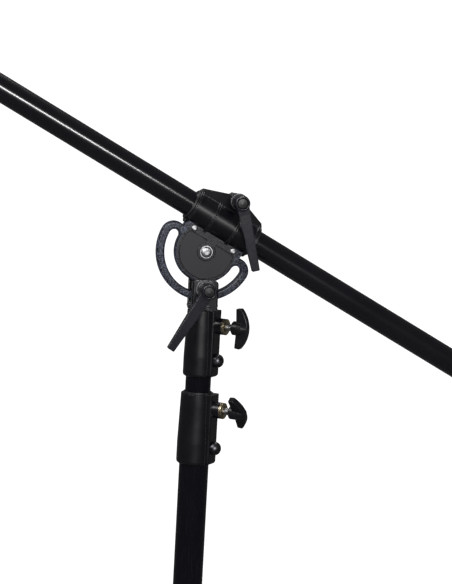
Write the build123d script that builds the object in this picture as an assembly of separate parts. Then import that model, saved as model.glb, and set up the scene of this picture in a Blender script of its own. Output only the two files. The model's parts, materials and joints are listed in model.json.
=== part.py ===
from build123d import *
import os
from math import asin, atan2, cos, degrees, hypot, radians, sin, sqrt, tan

# C stand with a tilting boom arm, in millimetres.
# +Z runs up the column and the floor is z = 0, with the column's axis at x = y = 0.
# The boom lies in the XZ plane, with its raised end towards -X. The levers face -Y.
# Three legs on stacked hubs carry a column and two risers. On top, a yoke holds a slotted tilt plate,
# and the tilt plate carries a split clamp for the boom.

OUT = "parts"
FLOOR = 0.0
RUN = 0.05                      # radial clearance of a running fit

# --- tubes ---
WALL = 1.5
R_COLUMN = 17.5
R_RISER_1 = 15.0
R_RISER_2 = 12.5

# --- base ---
R_LEG = 12.5
LEG_WALL = 1.8
LEG_SLOPE = 35.0                # degrees below horizontal
LEG_BEND_AT = 95.0              # radius of the leg's theoretical corner
LEG_BEND_R = 70.0
HUB_R = 29.0
HUB_H = 34.0
WASHER_H = 2.0
HUB_PITCH = HUB_H + WASHER_H
Z_HUB_LOW = 235.0
SOCKET_R = 17.0
SOCKET_END = 62.0
SOCKET_DEPTH = 30.0
HUB_FLOOR = 5.0
FOOT_R = 15.0
FOOT_GRIP = 34.0
FOOT_TIP = 8.0
FOOT_AXIS_Z = 9.0               # height of the foot's axis where the foot ends
LEGS = {"low": 60.0, "middle": -60.0, "top": 180.0}   # azimuth of each leg

# --- heights on the column ---
COLLAR_1_H = 84.0
COLLAR_2_H = 79.0
COLUMN_TOP = 1001.8             # top face of the lower collar
RISER_GAP = 20.2                # riser 1 stands this far out of the lower collar
COLLAR_1_Z = COLUMN_TOP - COLLAR_1_H
COLLAR_2_Z = COLUMN_TOP + RISER_GAP
COLLAR_2_TOP = COLLAR_2_Z + COLLAR_2_H
Z_PIVOT = COLLAR_2_TOP + 68.0
RISER_1_END = 262.0
RISER_2_END = 306.0

# --- collars, with their wing knobs at this angle from +X towards -Y ---
KNOB_ANGLE = 37.0
BOSS_W = 20.0
BOSS_PROUD = 2.8                # from the collar's lower radius to the boss's outer face
NECK = 9.0                      # round neck on the boss, under the brass bush
KNOB_REACH = 20.0               # from the boss's outer face to the knob's hub
SEAT = 28.0                     # depth of the liner, from the collar's top to the outer tube's end
KNOB_DROP = 18.0                # knob axis below the collar's top
BOLT_RISE = 20.0                # dome bolt above the collar's bottom
PAD_R = 5.0
PAD_L = 5.0
DOME_R = 7.9
BUSH_R = 6.0
STUD_R = 4.0

# --- pivot head ---
BOOM_TILT = 28.7
R_SLOT = 42.6
SLOT_HALF = 5.9
R_PLATE = 58.0
SLOT_END_ANGLE = 88.0
PLATE_HALF = 6.0                # half the thickness of the slotted rim
RIM_ROUND = 2.4                 # rounding of the rim's edges
FACE_HALF = 8.2                 # half the thickness at the raised centre
COVER_R = 31.4
COVER_TOP = 11.9
COVER_T = 1.2
GROOVE = 0.7
TONGUE_R = 10.9
TONGUE_HALF = 6.3
BOOM_UP = 38.6                  # boom axis above the pivot
SLEEVE_R = 19.5
RIB_R = 21.9
SLEEVE_HALF = 41.0
SHOULDER = 39.0                 # half the plate's width under the clamp
RIB_AT = 14.6
RIB_W = 3.4
RING_W = 1.2                    # each rib is a pair of rings this wide
CLAMP_BOLT_UP = 69.5
SPLIT_HALF = 2.0
SCREW_AT = (26.7, 16.9)
CHEEK_HALF = 15.5
CHEEK_IN = 8.6
CHEEK_OUT = 17.5
YOKE_BASE = -67.0
YOKE_FLOOR = -59.8
CHEEK_TOP = -32.5
LEVER_FACE = -20.0              # plane on which both levers sit
LEVER_FRONT = -45.0
LEVER_L = 80.0

# --- boom ---
BOOM_UPPER = 690.0              # from the clamp's centre to the raised end of the outer tube
BOOM_LOWER = 430.0
SPIGOT_R = 8.0
SPIGOT_L = 52.0
SPIGOT_ROOT = 9.0               # radius of the spigot's root in the end cap
CAP_H = 19.0                    # height of the boom's end cap


def tube(r_out, r_in, z0, z1):
    """A hollow cylinder on the Z axis from z0 to z1."""
    ring = Circle(r_out) - Circle(r_in)
    return Pos(0, 0, z0) * extrude(ring, z1 - z0)


def rod(r, z0, z1):
    """A solid cylinder on the Z axis from z0 to z1."""
    return Pos(0, 0, z0) * extrude(Circle(r), z1 - z0)


def turned(points):
    """A solid of revolution about Z from its (radius, height) outline."""
    outline = make_face(Polyline([(r, 0, z) for r, z in points], close=True))
    return revolve(outline, Axis.Z)


def along_x(shape):
    """Turns a shape built on the Z axis so that it points along +X."""
    return Rot(0, 90, 0) * shape


def along_front(shape):
    """Turns a shape built on the Z axis so that it points along -Y."""
    return Rot(90, 0, 0) * shape


def in_xz(sketch, y0, y1):
    """Extrudes a sketch drawn as (x, z) from depth y0 to depth y1."""
    return Pos(0, y1, 0) * Rot(90, 0, 0) * extrude(sketch, y1 - y0)


def hexagon(across_flats, z0, z1):
    """A hexagonal prism on the Z axis."""
    return Pos(0, 0, z0) * extrude(RegularPolygon(across_flats / sqrt(3), 6), z1 - z0)


def save(name, shape):
    """Writes one node, as its separate solids."""
    solids = shape.solids() if hasattr(shape, "solids") else [s for p in shape for s in p.solids()]
    export_step(Compound(children=list(solids)) if len(solids) > 1 else solids[0], f"{OUT}/{name}.step")


# ---------------------------------------------------------------- base

def hub(z, bottom_closed):
    """A cast hub ring at height z, with a side socket along +X for its leg."""
    ring = rod(HUB_R, -HUB_H / 2, HUB_H / 2)
    ring = chamfer(ring.edges().filter_by(GeomType.CIRCLE), 1.5)
    socket = along_x(rod(SOCKET_R, 0, SOCKET_END))
    socket = fillet(socket.edges().filter_by(GeomType.CIRCLE).sort_by(Axis.X)[-1], 2)
    body = ring + socket
    bore_r = R_COLUMN if bottom_closed else R_COLUMN + RUN
    bore_from = -HUB_H / 2 + HUB_FLOOR if bottom_closed else -HUB_H / 2
    body -= rod(bore_r, bore_from, HUB_H / 2)
    body -= along_x(rod(R_LEG, SOCKET_END - SOCKET_DEPTH, SOCKET_END))
    for side in (-1, 1):
        body -= Pos(48, side * (SOCKET_R + 3.5), 0) * Box(12, 10, 12)
    body -= Pos(48, 0, 0) * along_front(rod(2.5, -SOCKET_R, SOCKET_R))
    return Pos(0, 0, z) * body


def leg(z):
    """A bent leg tube for the hub at height z: level at the hub, then down to its foot."""
    slope = radians(LEG_SLOPE)
    end_z = FOOT_AXIS_Z + FOOT_TIP * sin(slope)
    end_x = LEG_BEND_AT + (z - end_z) / tan(slope)
    start = SOCKET_END - SOCKET_DEPTH
    path = FilletPolyline((start, 0, z), (LEG_BEND_AT, 0, z), (end_x, 0, end_z), radius=LEG_BEND_R)
    section = Plane(origin=(start, 0, z), z_dir=(1, 0, 0)) * (Circle(R_LEG) - Circle(R_LEG - LEG_WALL))
    pin_hole = Pos(48, 0, z) * along_front(rod(2.5, -SOCKET_R, SOCKET_R))
    return sweep(section, path) - pin_hole


def foot(z):
    """A rubber cap over the leg's lower end, cut flat where it stands on the floor."""
    slope = radians(LEG_SLOPE)
    end_x = LEG_BEND_AT + (z - FOOT_AXIS_Z) / tan(slope)
    outer = rod(FOOT_R, 0, FOOT_GRIP + FOOT_TIP)
    outer = fillet(outer.edges().filter_by(GeomType.CIRCLE).sort_by(Axis.Z)[-1], 2)
    cap = outer - rod(R_LEG, FOOT_TIP, FOOT_GRIP + FOOT_TIP)
    cap = Pos(end_x, 0, FOOT_AXIS_Z) * Rot(0, LEG_SLOPE - 90, 0) * cap
    return cap - Pos(end_x, 0, FLOOR - 20) * Box(120, 60, 40)


def leg_pin(z):
    """A dome-headed pin across the hub's socket."""
    head = 15.5
    pin = rod(2.5, -head, head)
    dome = turned([(0, head), (5, head), (4.2, head + 1.3), (0, head + 1.9)])
    pin += dome + Rot(180, 0, 0) * dome
    return Pos(48, 0, z) * along_front(pin)


def build_base():
    heights = [Z_HUB_LOW + i * HUB_PITCH for i in range(3)]
    for (name, azimuth), z in zip(LEGS.items(), heights):
        turn = Rot(0, 0, azimuth)
        save(f"hub_{name}", turn * hub(z, name == "low"))
        save(f"leg_{name}", turn * leg(z))
        save(f"foot_{name}", turn * foot(z))
        save(f"leg_pin_{name}", turn * leg_pin(z))
    washers = [tube(HUB_R - 2, R_COLUMN + RUN, z + HUB_H / 2, z + HUB_H / 2 + WASHER_H) for z in heights]
    save("friction_washers", Compound(children=washers))
    spring_z = heights[-1] + HUB_H / 2 + WASHER_H
    spring_h, wire_r, coil_r = 26.0, 1.6, 20.5
    helix = Helix(pitch=5.6, height=spring_h - 2 * wire_r, radius=coil_r)
    wire = sweep(Plane(origin=helix @ 0, z_dir=helix % 0) * Circle(wire_r), helix)
    save("hub_spring", Pos(0, 0, spring_z + wire_r) * wire)
    collar_z = spring_z + spring_h
    collar = chamfer(rod(25.5, 0, 14).edges().filter_by(GeomType.CIRCLE), 1.2)
    collar -= rod(R_COLUMN, 0, 14)
    collar -= Pos(0, 0, 7) * along_x(rod(3, 0, 30))
    save("spring_collar", Pos(0, 0, collar_z) * collar)
    grub = along_x(rod(3, R_COLUMN, 24.5) - hexagon(3, 21, 24.5))
    save("spring_collar_screw", Pos(0, 0, collar_z + 7) * grub)
    return heights


# ---------------------------------------------------------------- collars

def collar_casting(r_tube, r_inner, height):
    """A clamp collar on its outer tube, bottom at z = 0, with its knob boss along +X."""
    r_low, r_top = r_tube + 3.8, r_tube + 2.0
    face = boss_face(r_tube)
    body = turned([(0, 0), (r_low - 1.6, 0), (r_low - 0.4, 1.1), (r_low, 3), (r_low, height * 0.3),
                   (r_top, height - 0.8), (r_top - 0.8, height), (0, height)])
    boss = Pos(face / 2, 0, height / 2) * Box(face, BOSS_W, height)
    boss = fillet(boss.edges().filter_by(Axis.Z).sort_by(Axis.X)[-2:], 2.5)
    boss = fillet(boss.edges().filter_by(Axis.Y).sort_by(Axis.X)[-2:].sort_by(Axis.Z)[0], 4)
    body += boss
    body += Pos(0, 0, height - KNOB_DROP) * along_x(rod(9.6, face - 1, face + NECK))
    body -= rod(r_tube, 0, height - SEAT)
    body -= rod(r_inner + 1.9, height - SEAT, height)
    body -= Pos(0, 0, height - KNOB_DROP) * along_x(rod(BUSH_R, 0, face + NECK))
    body -= Pos(0, 0, BOLT_RISE) * along_x(rod(3, 0, face + 1))
    return body


def boss_face(r_tube):
    """Distance from the collar's axis to the boss's outer face."""
    return r_tube + 3.8 + BOSS_PROUD


def collar_liner(r_inner, height, lip):
    """The nylon sleeve in a collar's mouth that the inner tube runs in."""
    sleeve = tube(r_inner + 1.9, r_inner + RUN, height - SEAT, height)
    if lip:
        sleeve += tube(r_inner + 1.5, r_inner + RUN, height - 1, height + lip)
    return sleeve - Pos(0, 0, height - KNOB_DROP) * along_x(rod(PAD_R + 0.2, 0, 40))


def dome_bolt(r_tube, bite):
    """The dome-headed bolt that holds the casting on its tube."""
    face = boss_face(r_tube)
    rim, dome = face + 3.0, 6.6
    shank = rod(3, r_tube - bite, face) + rod(DOME_R, face, rim)
    half_ball = Sphere(DOME_R, arc_size1=0, align=(Align.CENTER, Align.CENTER, Align.MIN))
    cap = scale(half_ball, by=(1, 1, dome / DOME_R))
    return Pos(0, 0, BOLT_RISE) * along_x(shank + Pos(0, 0, rim) * cap)


def knob_bush(r_tube):
    """The brass threaded bush that carries the knob's stud."""
    face = boss_face(r_tube) + NECK
    inner = r_tube + 5.5
    outline = [(STUD_R + RUN, inner), (BUSH_R, inner), (BUSH_R, face), (9.6, face), (9.6, face + 0.9),
               (8.9, face + 1.2), (8.9, face + 1.5), (9.6, face + 1.8), (9.6, face + 2.7), (8.6, face + 3.4),
               (6.6, face + 3.8), (STUD_R + RUN, face + 3.8)]
    return along_x(turned(outline))


def brake_pad(r_inner):
    """The pad that the stud presses against the inner tube."""
    return along_x(rod(PAD_R, r_inner + RUN, r_inner + RUN + PAD_L))


def knob_stud(r_tube, r_inner):
    """The knob's threaded stud, from the brake pad into the knob's hub, with shallow thread grooves."""
    start = r_inner + RUN + PAD_L
    hub_at = boss_face(r_tube) + KNOB_REACH
    stud = rod(STUD_R, start, hub_at + 9)
    groove = turned([(STUD_R - 0.55, -0.1), (STUD_R + 0.1, -0.55), (STUD_R + 0.1, 0.55)])
    for i in range(4):
        stud -= Pos(0, 0, hub_at - 5.6 + i * 1.4) * groove
    return along_x(stud)


def wing_knob(r_tube, roll):
    """The wing knob: a round hub with a crescent wing, turned by roll about its own axis."""
    hub_at = boss_face(r_tube) + KNOB_REACH
    half, tip_in, tip_out, crown = 24.0, 4.3, 11.6, 20.2
    hub_body = turned([(0, 0), (7.0, 0), (8.2, 1.0), (8.2, 7.0), (7.0, 13.0), (5.0, crown - 1.2), (0, crown - 0.4)])
    outline = make_face(
        Polyline([(tip_out - 1, -half), (tip_in, -half + 0.6), (tip_in + 0.8, -8.0), (tip_in + 0.8, 8.0),
                  (tip_in, half - 0.6), (tip_out - 1, half)])
        + ThreePointArc((tip_out - 1, half), (crown, 0), (tip_out - 1, -half)))
    wing = Pos(0, 0, -3.8) * extrude(outline, 7.6)
    wing = fillet(wing.edges().filter_by(Axis.Z), 1.4)
    wing = Rot(90, 0, 0) * wing
    wing = fillet(wing.faces().sort_by(Axis.Y)[0].edges() + wing.faces().sort_by(Axis.Y)[-1].edges(), 1.3)
    knob = along_x(hub_body) + wing
    knob -= along_x(rod(STUD_R, 0, 9))
    return Pos(hub_at, 0, 0) * Rot(roll, 0, 0) * knob


def build_collar(prefix, place, r_tube, r_inner, height, lip, roll):
    """One clamp collar and everything on it, moved by place."""
    at_knob = place * Pos(0, 0, height - KNOB_DROP)
    save(f"{prefix}_collar", place * collar_casting(r_tube, r_inner, height))
    save(f"{prefix}_liner", place * collar_liner(r_inner, height, lip))
    save(f"{prefix}_dome_bolt", place * dome_bolt(r_tube, WALL))
    save(f"{prefix}_brass_bush", at_knob * knob_bush(r_tube))
    save(f"{prefix}_brake_pad", at_knob * brake_pad(r_inner))
    save(f"{prefix}_knob_stud", at_knob * knob_stud(r_tube, r_inner))
    save(f"{prefix}_wing_knob", at_knob * wing_knob(r_tube, roll))


def outer_tube(r_tube, z0, height, collar_z):
    """A tube that ends inside its collar and has the dome bolt's hole."""
    body = tube(r_tube, r_tube - WALL, z0, collar_z + height - SEAT)
    hole = Rot(0, 0, -KNOB_ANGLE) * Pos(0, 0, collar_z + BOLT_RISE) * along_x(rod(3, 0, r_tube + 2))
    return body - hole


def guide(r_tube, r_outer_bore, z):
    """The nylon guide plug in a sliding tube's lower end, at height z."""
    return rod(r_tube - WALL, z, z + 20) + rod(r_outer_bore - 0.1, z - 18, z) - rod(r_tube - 6, z - 18, z + 20)


def build_column(heights):
    foot_z = heights[0] - HUB_H / 2 + HUB_FLOOR
    turn = Rot(0, 0, -KNOB_ANGLE)
    save("column_tube", outer_tube(R_COLUMN, foot_z, COLLAR_1_H, COLLAR_1_Z))
    build_collar("lower", turn * Pos(0, 0, COLLAR_1_Z), R_COLUMN, R_RISER_1, COLLAR_1_H, 1.6, 40)
    save("riser_1_tube", outer_tube(R_RISER_1, RISER_1_END, COLLAR_2_H, COLLAR_2_Z))
    save("riser_1_guide", guide(R_RISER_1, R_COLUMN - WALL, RISER_1_END))
    build_collar("upper", turn * Pos(0, 0, COLLAR_2_Z), R_RISER_1, R_RISER_2, COLLAR_2_H, 0, 0)
    save("riser_2_tube", tube(R_RISER_2, R_RISER_2 - WALL, RISER_2_END, Z_PIVOT + YOKE_BASE - 0.3))
    save("riser_2_guide", guide(R_RISER_2, R_RISER_1 - WALL, RISER_2_END))


# ---------------------------------------------------------------- pivot head
# The yoke's parts are drawn about the pivot, and the tilt plate's with the boom level, then tilted.

AT_PIVOT = Pos(0, 0, Z_PIVOT)
TILTED = AT_PIVOT * Rot(0, BOOM_TILT, 0)


def yoke():
    """The cast yoke: a round base, a short front cheek and a long rear cheek up to the pivot."""
    front = in_xz(Pos(0, (YOKE_BASE + CHEEK_TOP) / 2) * Rectangle(2 * CHEEK_HALF, CHEEK_TOP - YOKE_BASE),
                  -CHEEK_OUT, -CHEEK_IN)
    front = fillet(front.edges().filter_by(Axis.Y).sort_by(Axis.Z)[-2:], 5)
    rear_outline = Pos(0, YOKE_BASE / 2) * Rectangle(2 * CHEEK_HALF, -YOKE_BASE) + Circle(CHEEK_HALF)
    rear = in_xz(rear_outline, CHEEK_IN, CHEEK_OUT)
    cheeks = (front + rear) & rod(22.0, YOKE_BASE, CHEEK_HALF + 1)
    base = rod(17.6, YOKE_BASE, YOKE_FLOOR) + rod(18.4, YOKE_BASE + 2.6, YOKE_BASE + 4.6)
    body = base + cheeks
    lever_seat = Pos(0, 0, -R_SLOT) * along_front(rod(10.8, CHEEK_OUT - 1, -LEVER_FACE))
    body += lever_seat
    body -= Pos(0, 0, -R_SLOT) * along_front(rod(STUD_R + 0.1, -30, 30))
    body -= along_front(rod(STUD_R, -30, 0))
    body -= rod(7.0, YOKE_BASE - 1, YOKE_FLOOR)
    return body


def yoke_post():
    """The post that joins the yoke to the top of riser 2."""
    return rod(7.0, YOKE_BASE, YOKE_FLOOR) + rod(R_RISER_2 - WALL, YOKE_BASE - 60, YOKE_BASE)


def plate_outline():
    """The tilt plate's outline with the boom level: half ring, centre, and shoulders under the clamp."""
    outline = slot_sketch(R_PLATE - R_SLOT)
    outline += Circle(R_SLOT - SLOT_HALF - 2)
    outline += Pos(0, 11) * Rectangle(2 * SHOULDER, 26)
    return outline


def slot_sketch(half_width):
    """An arc with round ends along the path of the tilt bolt."""
    return SlotArc(CenterArc((0, 0), R_SLOT, 270 - SLOT_END_ANGLE, 2 * SLOT_END_ANGLE), 2 * half_width)


def face_outline():
    """The raised centre of the plate: the disc and the bar below the clamp, clear of the slot's ends."""
    end_x, end_z = R_SLOT * sin(radians(SLOT_END_ANGLE)), -R_SLOT * cos(radians(SLOT_END_ANGLE))
    outline = Circle(COVER_R + GROOVE) + Pos(0, 14) * Rectangle(2 * (SHOULDER - 1), 20)
    for side in (-1, 1):
        outline -= Pos(side * end_x, end_z) * Circle(SLOT_HALF + 6)
    return outline


def cover_outline(grow):
    """The cover's outline: a disc with a flat top and a notch for the pivot tongue."""
    shape = Circle(COVER_R + grow) & Pos(0, COVER_TOP + grow - 2 * COVER_R) * Rectangle(4 * COVER_R, 4 * COVER_R)
    notch = Circle(TONGUE_R - grow) + Pos(0, COVER_TOP) * Rectangle(2 * (TONGUE_HALF - grow), 2 * COVER_TOP - 8)
    shape -= notch
    top = shape.vertices().filter_by(lambda v: v.Y > COVER_TOP + grow - 0.1).sort_by(lambda v: abs(v.X))
    shape = fillet(top[-2:], 4.5)
    top = shape.vertices().filter_by(lambda v: v.Y > COVER_TOP + grow - 0.1).sort_by(lambda v: abs(v.X))
    return fillet(top[:2], 2.0)


def tilt_plate():
    """The slotted plate, with its raised face on both sides and the recess for the cover in front."""
    body = in_xz(plate_outline() - slot_sketch(SLOT_HALF), -PLATE_HALF, PLATE_HALF)
    faces = body.faces().sort_by(Axis.Y)
    body = fillet(faces[0].edges() + faces[-1].edges(), RIM_ROUND)
    body += in_xz(face_outline(), -FACE_HALF, FACE_HALF)
    body -= in_xz(cover_outline(GROOVE), -FACE_HALF - 1, -FACE_HALF + COVER_T)
    body -= along_front(rod(STUD_R + RUN, -20, 20))
    body -= Pos(0, 0, BOOM_UP) * along_x(rod(SLEEVE_R, -60, 60))
    body -= sleeve_ribs()
    body -= sleeve_web()
    body -= Pos(0, 0, BOOM_UP) * Box(200, 60, 2 * 16.0)
    for side in (-1, 1):
        body -= Pos(side * SCREW_AT[0], 0, SCREW_AT[1]) * along_front(rod(2.0, -20, 20))
    return body


def plate_cover():
    return in_xz(cover_outline(0), -FACE_HALF, -FACE_HALF + COVER_T)


def pan_screw(r_shank, length, r_head, head_h, socket):
    """A domed screw with a hexagon socket, its head's underside at z = 0, pointing +Z."""
    body = turned([(0, -length), (r_shank, -length), (r_shank, 0), (r_head, 0), (r_head, head_h * 0.45),
                   (r_head * 0.8, head_h * 0.85), (r_head * 0.5, head_h), (0, head_h)])
    return body - hexagon(socket, head_h * 0.35, head_h + 1)


def pivot_screw():
    washer_t = 1.0
    return Pos(0, -FACE_HALF - washer_t, 0) * along_front(
        pan_screw(STUD_R, 2 * CHEEK_OUT - 1.0, 6.3, 3.0, 5.0))


def pivot_washer():
    return along_front(tube(7.4, STUD_R + RUN, FACE_HALF, FACE_HALF + 1.0))


def nut(across_flats, r_hole, thickness):
    """A hexagon nut from z = 0 up."""
    body = hexagon(across_flats, 0, thickness) & turned(
        [(0, 0), (across_flats * 0.52, 0), (across_flats * 0.58, 1), (across_flats * 0.58, thickness - 1),
         (across_flats * 0.52, thickness), (0, thickness)])
    return body - rod(r_hole, -1, thickness + 1)


def sleeve_ribs():
    """The four rings round the clamp's sleeve."""
    half = RIB_W / 2
    valley = half - RING_W
    outline = [(0, -half), (RIB_R - 0.2, -half), (RIB_R, -half + 0.2), (RIB_R, -valley), (RIB_R - 1.4, -valley + 0.2),
               (RIB_R - 1.4, valley - 0.2), (RIB_R, valley), (RIB_R, half - 0.2), (RIB_R - 0.2, half), (0, half)]
    places = (half - SLEEVE_HALF, -RIB_AT, RIB_AT, SLEEVE_HALF - half)
    return [Pos(at, 0, BOOM_UP) * along_x(turned(outline)) for at in places]


def sleeve_web():
    """The clamp's web, which sits in the tilt plate's slit and takes the two small screws."""
    return in_xz(Pos(0, 17) * RectangleRounded(68, 18, 3), -2.5, 2.5)


def clamp_sleeve():
    """The split boom clamp with the boom level: sleeve, ribs, web and the two roof-shaped ears."""
    axis_up = Pos(0, 0, BOOM_UP)
    body = axis_up * along_x(rod(SLEEVE_R, -SLEEVE_HALF, SLEEVE_HALF))
    body += sleeve_ribs()
    body += sleeve_web()
    body += ears()
    body -= axis_up * along_x(rod(R_RISER_1 + 1.5, -60, 60))
    body -= Pos(0, 0, BOOM_UP + 40) * Box(200, 2 * SPLIT_HALF, 80)
    body -= Pos(0, 0, CLAMP_BOLT_UP) * along_front(rod(STUD_R + 0.1, -40, 40))
    for side in (-1, 1):
        hole = Pos(side * SCREW_AT[0], 0, SCREW_AT[1]) * along_front(rod(2.0, -20, 20))
        body -= hole
    return body


def ears():
    """The two clamping ears: a roof along the boom whose front and rear faces lean inwards."""
    foot_z, eave_z, end_x, cap_r = BOOM_UP + 10, BOOM_UP + 22.9, SLEEVE_HALF - 1.6, 5.6
    lean_from, lean_to, low_half, top_half = BOOM_UP + 17.5, BOOM_UP + 33.0, 9.5, 4.5
    reach = hypot(end_x, CLAMP_BOLT_UP - eave_z)
    rise = degrees(atan2(CLAMP_BOLT_UP - eave_z, end_x) + asin(cap_r / reach))
    touch = (cap_r * sin(radians(rise)), CLAMP_BOLT_UP + cap_r * cos(radians(rise)))
    roof = make_face(
        Polyline([(-touch[0], touch[1]), (-end_x, eave_z), (-end_x, foot_z), (end_x, foot_z), (end_x, eave_z), touch])
        + ThreePointArc(touch, (0, CLAMP_BOLT_UP + cap_r), (-touch[0], touch[1])))
    block = in_xz(roof, -low_half, low_half)
    section = make_face(Polyline([(-low_half, foot_z), (-low_half, lean_from), (-top_half, lean_to), (-top_half, 90),
                                  (top_half, 90), (top_half, lean_to), (low_half, lean_from), (low_half, foot_z)],
                                 close=True))
    block &= Pos(-60, 0, 0) * Rot(0, 0, 90) * Rot(90, 0, 0) * extrude(section, 120)
    seat = Pos(0, 0, CLAMP_BOLT_UP) * along_front(rod(8.0, -9, -LEVER_FACE) + rod(6.6, LEVER_FACE, -9))
    return block + seat


def clamp_liner():
    """The nylon liner between the clamp and the boom, with a lip at each end."""
    body = tube(R_RISER_1 + 1.5, R_RISER_1 + RUN, -SLEEVE_HALF - 2.5, SLEEVE_HALF + 2.5)
    for side in (-1, 1):
        middle = side * (SLEEVE_HALF + 1.4)
        body += tube(R_RISER_1 + 3.2, R_RISER_1 + RUN, middle - 1.1, middle + 1.1)
    return Pos(0, 0, BOOM_UP) * along_x(body)


def lever_handle(angle):
    """A clamping lever about the Y axis, its arm pointing down at angle degrees towards +X."""
    hub_body = turned([(0, 0), (9.2, 0), (9.2, 15), (8.6, 22.4), (0, 22.4)])
    hub_body = fillet(hub_body.edges().filter_by(GeomType.CIRCLE).sort_by(Axis.Z)[-1], 1.0)
    start, end = (0.0, 7.3), (LEVER_L, 4.4)
    arm = make_face(Polyline([(start[0], -start[1]), (end[0], -end[1]), (end[0], end[1]), (start[0], start[1])],
                             close=True))
    side_view = make_face(Polyline([(0, 6), (16, 10.5), (LEVER_L + 1, 14.5), (LEVER_L + 1, 21.0), (14, 19.5),
                                    (0, 19.5)], close=True))
    arm = extrude(arm, 40) & (Pos(0, 20, 0) * Rot(90, 0, 0) * extrude(side_view, 40))
    arm = fillet(arm.edges().filter_by(Axis.Z), 1.2)
    body = hub_body + arm
    body -= rod(5.5 + RUN, 0, 11.5)
    body -= rod(3.4, 11, 14)
    body -= rod(6.6, 13.6, 23)
    return along_front(Rot(0, 0, angle - 90) * body)


def lever_stud(length):
    """The lever's splined insert and threaded stud, pointing -Y from its flange; length is behind the flange."""
    insert = rod(9.8, 0, 2.4)
    for i in range(24):
        insert -= Rot(0, 0, i * 15) * Pos(10.0, 0, 1.2) * Rot(0, 0, 45) * Box(1.0, 1.0, 3)
    core = rod(5.5, 2.4, 13.5)
    shaft = rod(STUD_R, -length, 0)
    return along_front(insert + core + shaft)


def lever_cap():
    """The round-headed screw at the middle of a lever, which holds it on its insert."""
    screw = turned([(0, 13.5), (3.0, 13.5), (3.0, 20.4), (6.2, 20.4), (6.2, 23.4), (5.6, 24.2), (0, 24.6)])
    return along_front(screw)


def build_head():
    save("yoke", AT_PIVOT * yoke())
    save("yoke_post", AT_PIVOT * yoke_post())
    bolt_at = AT_PIVOT * Pos(0, 0, -R_SLOT)
    save("slot_bush", bolt_at * along_front(tube(SLOT_HALF - 0.2, STUD_R + RUN, -CHEEK_IN, CHEEK_IN)))
    save("pivot_screw", AT_PIVOT * pivot_screw())
    save("pivot_washer", AT_PIVOT * pivot_washer())
    nuts = [at * Pos(0, CHEEK_OUT, 0) * Rot(-90, 0, 0) * nut(13, STUD_R + RUN, 6.5) for at in (AT_PIVOT, bolt_at)]
    save("yoke_nuts", Compound(children=nuts))
    seat = Pos(0, LEVER_FACE, 0)
    save("tilt_lever", bolt_at * seat * Pos(0, -2.6, 0) * lever_handle(-31.4))
    save("tilt_lever_stud", bolt_at * seat * lever_stud(CHEEK_OUT + 7 - LEVER_FACE))
    save("tilt_lever_cap", bolt_at * seat * lever_cap())

    save("tilt_plate", TILTED * tilt_plate())
    save("plate_cover", TILTED * plate_cover())
    screws = [TILTED * Pos(side * SCREW_AT[0], -FACE_HALF, SCREW_AT[1]) * along_front(
        pan_screw(2.0, 2 * FACE_HALF - 1, 3.8, 2.4, 2.5)) for side in (-1, 1)]
    save("plate_screws", Compound(children=[s.solid() for s in screws]))
    save("clamp_sleeve", TILTED * clamp_sleeve())
    save("clamp_liner", TILTED * clamp_liner())
    clamp_at = TILTED * Pos(0, 0, CLAMP_BOLT_UP)
    save("clamp_nut", clamp_at * Pos(0, -LEVER_FACE, 0) * Rot(-90, 0, 0) * nut(13, STUD_R + RUN, 6.5))
    save("clamp_lever", clamp_at * seat * Pos(0, -2.6, 0) * lever_handle(14.5 + BOOM_TILT))
    save("clamp_lever_stud", clamp_at * seat * lever_stud(-2 * LEVER_FACE + 7))
    save("clamp_lever_cap", clamp_at * seat * lever_cap())


# ---------------------------------------------------------------- boom

BOOM = TILTED * Pos(0, 0, BOOM_UP)          # origin at the clamp's centre, +X down the boom
RAISED = BOOM * Rot(0, -90, 0)              # the same, with +Z up the boom
BAIL_AT = -BOOM_LOWER + 14


def boom_tube():
    body = tube(R_RISER_1, R_RISER_1 - WALL, -BOOM_LOWER, BOOM_UPPER)
    return body - Pos(0, 0, BAIL_AT) * along_front(rod(3, -30, 30))


def boom_end():
    """The cast end cap in the boom's raised end, bored for the spigot."""
    cap = turned([(0, 0), (R_RISER_1, 0), (R_RISER_1, CAP_H - 5), (13, CAP_H), (0, CAP_H)])
    return Pos(0, 0, BOOM_UPPER) * (rod(R_RISER_1 - WALL, -30, 0) + cap - rod(SPIGOT_ROOT, -20, CAP_H + 1))


def boom_spigot():
    """The 16 mm spigot in the boom's end cap, with its shoulder and locking groove."""
    z = CAP_H + SPIGOT_L
    shoulder = CAP_H + 2.5
    outline = [(0, -20), (SPIGOT_ROOT, -20), (SPIGOT_ROOT, CAP_H), (10.5, CAP_H), (10.5, shoulder), (7.6, shoulder),
               (7.6, shoulder + 0.5), (SPIGOT_R, shoulder + 0.5), (SPIGOT_R, z - 18), (6.4, z - 15.5),
               (6.4, z - 9.5), (SPIGOT_R, z - 7), (SPIGOT_R, z - 1), (SPIGOT_R - 1, z), (0, z)]
    return Pos(0, 0, BOOM_UPPER) * turned(outline)


def boom_plug():
    """The plug in the boom's lower end."""
    end = -BOOM_LOWER
    flange = turned([(0, end), (16.2, end), (16.2, end - 2.5), (14, end - 4.5), (0, end - 4.5)])
    plug = rod(R_RISER_1 - WALL, end, end + 34) + flange
    return plug - Pos(0, 0, BAIL_AT) * along_front(rod(3, -30, 30))


def bail_pin():
    """The headed pin across the boom's lower end, which the bail swings on."""
    pin = rod(3.0, -24.5, 24.5)
    head = turned([(0, 24.5), (5.2, 24.5), (4.2, 26.2), (0, 26.8)])
    return Pos(0, 0, BAIL_AT) * along_front(pin + head + Rot(180, 0, 0) * head)


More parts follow.
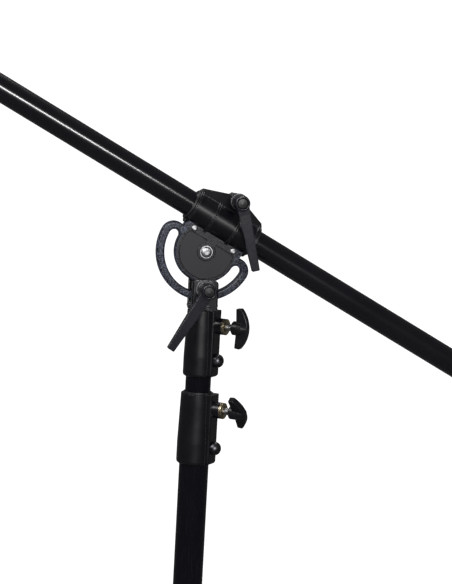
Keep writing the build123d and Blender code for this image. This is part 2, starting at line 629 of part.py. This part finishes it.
def weight_bail():
    """The wire bail that hangs from the boom's lower end for a sandbag."""
    half, drop, wire_r = 20.0, 46.0, 2.5
    path = FilletPolyline((0, -half, 0), (0, -half, -drop), (0, half, -drop), (0, half, 0), radius=14)
    body = sweep(Plane(origin=(0, -half, 0), z_dir=(0, 0, -1)) * Circle(wire_r), path)
    for side in (-1, 1):
        body += Pos(0, side * half, 0) * along_front(rod(6.5, -3.4, 3.4))
    return body - along_front(rod(3.0 + RUN, -30, 30))


def build_boom():
    save("boom_tube", RAISED * boom_tube())
    save("boom_end", RAISED * boom_end())
    save("boom_spigot", RAISED * boom_spigot())
    save("boom_plug", RAISED * boom_plug())
    save("bail_pin", RAISED * bail_pin())
    hanging = (BOOM * Pos(-BAIL_AT, 0, 0)).position
    save("weight_bail", Pos(hanging.X, hanging.Y, hanging.Z) * weight_bail())


os.makedirs(OUT, exist_ok=True)
hub_heights = build_base()
build_column(hub_heights)
build_head()
build_boom()
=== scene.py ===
import json
from math import cos, radians, sin
import bpy
from mathutils import Matrix, Vector


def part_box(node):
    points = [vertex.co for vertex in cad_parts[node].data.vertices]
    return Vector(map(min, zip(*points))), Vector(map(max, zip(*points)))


# C stand with a tilting boom: procedural finishes, camera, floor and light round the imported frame.
# Metres throughout. +Z is up, and the levers face -Y.

MM = 0.001
BOOM_TILT = radians(28.7)       # the boom's slope, down towards +X
SENSOR_HEIGHT = 24.0            # millimetres
LENS = 82.1918                  # millimetres
SHADER_SAMPLES = 6              # for each soft edge
WORLD_BRIGHT = 1.15             # what the eye and the floor see of the surround
WORLD_FOR_GLOSS = 0.11          # what glossy surfaces mirror of it
FLOOR_HALF = 2.4
PLAIN_RADIUS = 0.034            # the plate's plain grey middle, about the pivot


# ---------------------------------------------------------------- shader building blocks

class Finish:
    """One procedural finish: a Principled shader with its own colour, roughness and bump nodes."""

    def __init__(self, name, metallic=0.0, specular=0.5, bevel=0.4):
        self.material = bpy.data.materials.new(name)
        self.material.use_nodes = True
        self.tree = self.material.node_tree
        self.shader = self.tree.nodes["Principled BSDF"]
        self.shader.inputs["Metallic"].default_value = metallic
        self.shader.inputs["Specular IOR Level"].default_value = specular
        self.place = self.add("ShaderNodeTexCoord").outputs["Object"]
        soft_edge = self.add("ShaderNodeBevel")
        soft_edge.samples = SHADER_SAMPLES
        soft_edge.inputs["Radius"].default_value = bevel * MM
        self.normal = soft_edge.outputs["Normal"]

    def add(self, kind, **inputs):
        """A new node with these inputs set to values, or linked where the value is a socket."""
        item = self.tree.nodes.new(kind)
        for key, value in inputs.items():
            self.set(item.inputs[key.replace("_", " ")], value)
        return item

    def set(self, socket, value):
        if isinstance(value, bpy.types.NodeSocket):
            self.tree.links.new(value, socket)
        else:
            socket.default_value = value

    def math(self, operation, a, b=0.0, clamp=False):
        item = self.add("ShaderNodeMath")
        item.operation = operation
        item.use_clamp = clamp
        self.set(item.inputs[0], a)
        self.set(item.inputs[1], b)
        return item.outputs[0]

    def spread(self, value, low, high, start=0.3, end=0.7):
        """Maps a value between start and end to the range low to high."""
        item = self.add("ShaderNodeMapRange")
        for index, number in enumerate((value, start, end, low, high)):
            self.set(item.inputs[index], number)
        return item.outputs["Result"]

    def stretched(self, scale, turn_y=0.0):
        """The place, turned about Y and then scaled along each axis."""
        turned = self.add("ShaderNodeMapping", Vector=self.place)
        turned.inputs["Rotation"].default_value = (0, turn_y, 0)
        item = self.add("ShaderNodeMapping", Vector=turned.outputs[0])
        item.inputs["Scale"].default_value = scale
        return item.outputs[0]

    def noise(self, size_mm, detail=3.0, at=None, roughness=0.5):
        """Noise whose blobs are about size_mm across."""
        item = self.add("ShaderNodeTexNoise", Vector=at or self.place, Scale=1 / (size_mm * MM),
                        Detail=detail, Roughness=roughness)
        return item.outputs["Fac"]

    def cells(self, size_mm):
        """A random grey for each cell of about size_mm."""
        item = self.add("ShaderNodeTexVoronoi", Vector=self.place, Scale=1 / (size_mm * MM))
        grey = self.add("ShaderNodeSeparateColor", Color=item.outputs["Color"])
        return grey.outputs[0]

    def radius_about(self, centre):
        """The distance from the line through centre along Y."""
        offset = self.add("ShaderNodeVectorMath")
        offset.operation = "SUBTRACT"
        self.set(offset.inputs[0], self.place)
        offset.inputs[1].default_value = centre
        flat = self.add("ShaderNodeVectorMath")
        flat.operation = "MULTIPLY"
        self.set(flat.inputs[0], offset.outputs[0])
        flat.inputs[1].default_value = (1, 0, 1)
        length = self.add("ShaderNodeVectorMath")
        length.operation = "LENGTH"
        self.set(length.inputs[0], flat.outputs[0])
        return length.outputs["Value"]

    def mixed(self, factor, a, b):
        """A colour between a and b."""
        item = self.add("ShaderNodeMix")
        item.data_type = "RGBA"
        self.set(item.inputs[0], factor)
        self.set(item.inputs[6], a)
        self.set(item.inputs[7], b)
        return item.outputs[2]

    def edges(self, reach_mm):
        """A mask of the surface within reach_mm of an edge."""
        wide = self.add("ShaderNodeBevel", Radius=reach_mm * MM)
        wide.samples = SHADER_SAMPLES
        dot = self.add("ShaderNodeVectorMath")
        dot.operation = "DOT_PRODUCT"
        self.set(dot.inputs[0], wide.outputs["Normal"])
        self.set(dot.inputs[1], self.add("ShaderNodeNewGeometry").outputs["Normal"])
        bend = self.math("SUBTRACT", 1.0, dot.outputs["Value"])
        return self.spread(bend, 0.0, 1.0, 0.02, 0.2)

    def worn_edges(self, reach_mm, amount):
        """A mask of patches along the edges, where hands and tools rub the finish."""
        patches = self.spread(self.noise(2.5, 6.0, roughness=0.7), 0.15, 1.0, 0.42, 0.6)
        rubbed = self.math("MULTIPLY", self.edges(reach_mm), patches)
        return self.math("MULTIPLY", rubbed, amount, clamp=True)

    def bump(self, height, depth_mm):
        """Adds relief over what is there already."""
        item = self.add("ShaderNodeBump", Height=height, Strength=1.0, Normal=self.normal)
        item.inputs["Distance"].default_value = depth_mm * MM
        self.normal = item.outputs[0]

    def done(self, colour, roughness):
        self.set(self.shader.inputs["Base Color"], colour)
        self.set(self.shader.inputs["Roughness"], roughness)
        self.set(self.shader.inputs["Normal"], self.normal)
        return self.material


def rgb(red, green, blue):
    return (red, green, blue, 1.0)


# ---------------------------------------------------------------- finishes, one for each material slot

def tube_coat(name, turn_y, along, shine):
    """Smooth black coat on a tube, with hairline scuffs that run along it."""
    f = Finish(name, specular=shine, bevel=0.3)
    scuffs = f.noise(1.0, 2.0, f.stretched(along, turn_y))
    cloud = f.noise(40, 3)
    peel = f.noise(1.6, 2)
    hair = f.spread(scuffs, 0.0, 1.0, 0.62, 0.72)
    colour = f.mixed(cloud, rgb(0.0012, 0.0012, 0.002), rgb(0.0024, 0.0023, 0.0036))
    colour = f.mixed(f.math("MULTIPLY", hair, 0.25), colour, rgb(0.02, 0.02, 0.023))
    f.bump(peel, 0.0004)
    rough = f.math("ADD", f.spread(cloud, 0.17, 0.2), f.math("MULTIPLY", hair, 0.04))
    return f.done(colour, rough)


def column_coat():
    return tube_coat("column_coat", 0.0, (3.0, 3.0, 0.05), 0.12)


def boom_coat():
    return tube_coat("boom_coat", BOOM_TILT, (0.05, 3.0, 3.0), 0.45)


def casting_paint(name, wear_and_glint, bare_metal_and_glint):
    """Satin black paint over die-cast metal, rubbed through along the edges; on the yoke the pale rubbed
    edges are also painted glints of light.
    """
    f = Finish(name, specular=0.36, bevel=0.7)
    grain = f.noise(0.7, 4, roughness=0.6)
    cloud = f.noise(18, 3)
    colour = f.mixed(cloud, rgb(0.0010, 0.0010, 0.0018), rgb(0.0022, 0.0021, 0.0036))
    # Rubbed edges take the bare colour; on the yoke that colour is pale and also paints in glints of light
    # on its top and edges.
    colour = f.mixed(f.worn_edges(0.7, wear_and_glint), colour, bare_metal_and_glint)
    f.bump(grain, 0.006)
    f.bump(f.noise(6, 2), 0.02)
    rough = f.math("ADD", f.spread(cloud, 0.24, 0.31), f.math("MULTIPLY", grain, 0.06))
    return f.done(colour, rough)


def sparkling_paint(centre):
    """Blue-black paint with coarse grains and pale flecks, and plain grey in the plate's middle."""
    f = Finish("sparkling_paint", specular=0.25, bevel=0.8)
    grain = f.noise(1.1, 5, roughness=0.75)
    flecks = f.math("GREATER_THAN", f.cells(0.55), 0.86)
    base = f.mixed(grain, rgb(0.0016, 0.002, 0.0042), rgb(0.0065, 0.0072, 0.012))
    colour = f.mixed(f.math("MULTIPLY", flecks, 0.4), base, rgb(0.16, 0.18, 0.26))
    colour = f.mixed(f.worn_edges(0.8, 0.45), colour, rgb(0.3, 0.32, 0.38))
    plain = f.spread(f.radius_about(centre), 1.0, 0.0, PLAIN_RADIUS, PLAIN_RADIUS + 0.5 * MM)
    colour = f.mixed(plain, colour, f.mixed(grain, rgb(0.006, 0.0057, 0.0074), rgb(0.01, 0.0094, 0.012)))
    f.bump(grain, 0.14)
    f.bump(f.noise(0.45, 2), 0.05)
    return f.done(colour, f.spread(grain, 0.22, 0.36))


def brushed_cover(centre):
    """Flat grey cover with fine rings turned into its face, about the pivot, darkened along its edges by
    painted shade.
    """
    f = Finish("brushed_cover", specular=0.2, bevel=0.3)
    ring = f.add("ShaderNodeCombineXYZ", X=f.radius_about(centre))
    lines = f.noise(0.35, 3, ring.outputs[0])
    cloud = f.noise(9, 3)
    colour = f.mixed(lines, rgb(0.0062, 0.0058, 0.0078), rgb(0.0125, 0.0118, 0.015))
    colour = f.mixed(f.math("MULTIPLY", cloud, 0.5), colour, rgb(0.0092, 0.0087, 0.011))
    # Painted shade: near black within 1.4 mm of the cover's edges, standing in for the shadow in the groove
    # round it.
    colour = f.mixed(f.edges(1.4), colour, rgb(0.0005, 0.0005, 0.0005))
    f.bump(lines, 0.012)
    return f.done(colour, f.spread(cloud, 0.38, 0.46))


def lever_paint():
    """Slate-grey satin paint on the cast levers."""
    f = Finish("lever_paint", specular=0.34, bevel=1.5)
    grain = f.noise(0.6, 4, roughness=0.6)
    cloud = f.noise(12, 3)
    colour = f.mixed(cloud, rgb(0.0022, 0.0022, 0.0042), rgb(0.005, 0.005, 0.0082))
    colour = f.mixed(f.worn_edges(0.6, 0.5), colour, rgb(0.12, 0.125, 0.145))
    f.bump(grain, 0.03)
    f.bump(f.noise(5, 2), 0.05)
    return f.done(colour, f.spread(grain, 0.18, 0.27))


def knob_plastic():
    """Moulded black plastic with a faint spark-eroded grain."""
    f = Finish("knob_plastic", specular=0.32, bevel=0.9)
    grain = f.noise(0.5, 3)
    cloud = f.noise(10, 3)
    colour = f.mixed(cloud, rgb(0.0014, 0.0014, 0.002), rgb(0.003, 0.003, 0.004))
    f.bump(grain, 0.025)
    return f.done(colour, f.spread(cloud, 0.28, 0.4))


def black_nylon():
    """Dull turned nylon of the liners and guides."""
    f = Finish("black_nylon", specular=0.4, bevel=0.4)
    turned = f.noise(1.0, 2, f.stretched((0.2, 0.2, 3.0)))
    cloud = f.noise(8, 3)
    colour = f.mixed(cloud, rgb(0.005, 0.005, 0.006), rgb(0.011, 0.011, 0.013))
    f.bump(turned, 0.02)
    return f.done(colour, f.spread(turned, 0.38, 0.52))


def metal(name, dark, light, rough, stain, worn=0.0):
    """Bare metal with machining marks, and darker where it has aged."""
    f = Finish(name, metallic=1.0, bevel=0.35)
    marks = f.noise(0.5, 3, f.stretched((1.0, 0.15, 1.0)))
    cloud = f.noise(3.5, 4, roughness=0.65)
    colour = f.mixed(f.spread(cloud, 0.0, 1.0, 0.35, 0.6), dark, light)
    colour = f.mixed(f.spread(marks, 0.0, stain, 0.55, 0.7), colour, rgb(0.02, 0.018, 0.015))
    if worn:
        colour = f.mixed(f.worn_edges(0.4, worn), colour, light)
    f.bump(marks, 0.015)
    return f.done(colour, f.spread(cloud, rough, rough + 0.16))


def brass():
    return metal("brass", rgb(0.2, 0.165, 0.1), rgb(0.55, 0.48, 0.34), 0.24, 0.5)


def bright_steel():
    return metal("bright_steel", rgb(0.16, 0.16, 0.165), rgb(0.42, 0.42, 0.43), 0.34, 0.3)


def dark_steel():
    return metal("dark_steel", rgb(0.035, 0.034, 0.037), rgb(0.1, 0.1, 0.11), 0.3, 0.3, worn=0.7)


def spring_steel():
    return metal("spring_steel", rgb(0.2, 0.2, 0.21), rgb(0.42, 0.42, 0.44), 0.26, 0.3)


def foot_rubber():
    """Dusty black rubber with a fine moulded grain."""
    f = Finish("foot_rubber", specular=0.25, bevel=0.8)
    grain = f.noise(0.8, 4)
    dust = f.noise(14, 5, roughness=0.65)
    colour = f.mixed(f.spread(dust, 0.0, 1.0, 0.4, 0.72), rgb(0.011, 0.011, 0.011), rgb(0.035, 0.033, 0.031))
    f.bump(grain, 0.06)
    return f.done(colour, f.spread(dust, 0.62, 0.82))


def middle(node):
    """The middle of a CAD node's box."""
    low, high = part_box(node)
    return (Vector(low) + Vector(high)) / 2


def paint_nodes(frame):
    """Gives every CAD node the finish of its material slot."""
    own_finish = {
        "boom_tube": boom_coat(),
        # The yoke: real rubbed edges, whose pale colour is also painted glints of the light from above.
        "yoke": casting_paint("worn_casting_paint_with_painted_glints", 1.0, rgb(0.55, 0.56, 0.6)),
    }
    finishes = {
        "black_tube": column_coat(),
        "black_casting": casting_paint("casting_paint", 0.5, rgb(0.1, 0.1, 0.11)),
        "textured_paint": sparkling_paint(middle("pivot_screw")),
        "cover_grey": brushed_cover(middle("pivot_screw")),
        "lever_grey": lever_paint(),
        "black_plastic": knob_plastic(),
        "nylon": black_nylon(),
        "brass": brass(),
        "bright_steel": bright_steel(),
        "dark_steel": dark_steel(),
        "spring_steel": spring_steel(),
        "rubber": foot_rubber(),
    }
    for part in frame["record"]["subparts"]:
        node = part["node"]
        finish = own_finish.get(node, finishes[part["material_slot"]])
        for place in frame["nodes"][node].material_slots:
            place.material = finish


# ---------------------------------------------------------------- camera, floor and light

def add_camera():
    """A camera in front of the head, a little to its left, above it and tilted."""
    distance = 2.3456
    azimuth, elevation, roll = radians(-10.63), radians(7.33), radians(3.11)
    target = Vector((0.02744, 0.0, 1.12172))
    forward = Vector((-sin(azimuth) * cos(elevation), cos(azimuth) * cos(elevation), -sin(elevation)))
    right = forward.cross(Vector((0, 0, 1))).normalized()
    up = right.cross(forward)
    rolled_right = cos(roll) * right + sin(roll) * up
    rolled_up = cos(roll) * up - sin(roll) * right
    place = Matrix((rolled_right, rolled_up, -forward)).transposed().to_4x4()
    place.translation = target - forward * distance
    data = bpy.data.cameras.new("camera")
    data.sensor_fit = "VERTICAL"
    data.sensor_height = SENSOR_HEIGHT
    data.lens = LENS
    camera = bpy.data.objects.new("camera", data)
    camera.matrix_world = place
    bpy.context.scene.collection.objects.link(camera)
    bpy.context.scene.camera = camera


def add_floor():
    """A plain pale floor that gloss does not mirror."""
    mesh = bpy.data.meshes.new("floor")
    signs = ((-1, -1), (1, -1), (1, 1), (-1, 1))
    corners = [(x * FLOOR_HALF, y * FLOOR_HALF, 0) for x, y in signs]
    mesh.from_pydata(corners, [], [(0, 1, 2, 3)])
    floor = bpy.data.objects.new("floor", mesh)
    f = Finish("pale_floor", specular=0.1)
    colour = f.mixed(f.noise(60, 3), rgb(0.87, 0.87, 0.87), rgb(0.9, 0.9, 0.9))
    mesh.materials.append(f.done(colour, f.spread(f.noise(9, 3), 0.75, 0.85)))
    bpy.context.scene.collection.objects.link(floor)
    floor.visible_glossy = False


def add_softbox(name, place, target, width, height, power):
    """A rectangular area light at place, facing target."""
    data = bpy.data.lights.new(name, "AREA")
    data.shape = "RECTANGLE"
    data.size = width
    data.size_y = height
    data.energy = power
    light = bpy.data.objects.new(name, data)
    light.location = place
    light.rotation_euler = (Vector(target) - Vector(place)).to_track_quat("-Z", "Y").to_euler()
    bpy.context.scene.collection.objects.link(light)


def add_world():
    """A white surround for the eye and the floor, and a dim one for gloss to mirror."""
    world = bpy.data.worlds.new("studio")
    world.use_nodes = True
    tree = world.node_tree
    background = tree.nodes["Background"]
    background.inputs["Color"].default_value = rgb(1, 1, 1)
    path = tree.nodes.new("ShaderNodeLightPath")
    strength = tree.nodes.new("ShaderNodeMapRange")
    strength.inputs["To Min"].default_value = WORLD_BRIGHT
    strength.inputs["To Max"].default_value = WORLD_FOR_GLOSS
    tree.links.new(path.outputs["Is Glossy Ray"], strength.inputs["Value"])
    tree.links.new(strength.outputs["Result"], background.inputs["Strength"])
    bpy.context.scene.world = world


def add_lights():
    """Three softboxes round the head; the first is the strip that draws the boom's bright line."""
    head = middle("tilt_plate")
    add_softbox("front_softbox", (-0.1, -2.45, 1.62), head, 1.3, 0.2, 56.0)
    add_softbox("top_softbox", (0.05, 0.6, 2.7), head, 0.8, 0.8, 32.0)
    add_softbox("left_softbox", (-1.5, -0.7, 2.5), head, 0.7, 0.7, 22.0)
    add_world()


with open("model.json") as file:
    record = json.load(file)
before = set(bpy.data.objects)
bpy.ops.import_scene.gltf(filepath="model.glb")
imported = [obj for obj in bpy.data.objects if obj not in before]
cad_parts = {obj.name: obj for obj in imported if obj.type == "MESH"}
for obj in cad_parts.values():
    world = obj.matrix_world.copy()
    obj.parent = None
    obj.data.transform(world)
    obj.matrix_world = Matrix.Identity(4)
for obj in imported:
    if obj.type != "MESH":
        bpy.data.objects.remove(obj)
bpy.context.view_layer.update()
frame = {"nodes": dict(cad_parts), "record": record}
paint_nodes(frame)
add_camera()
add_floor()
add_lights()
bpy.context.scene.view_settings.view_transform = "Standard"
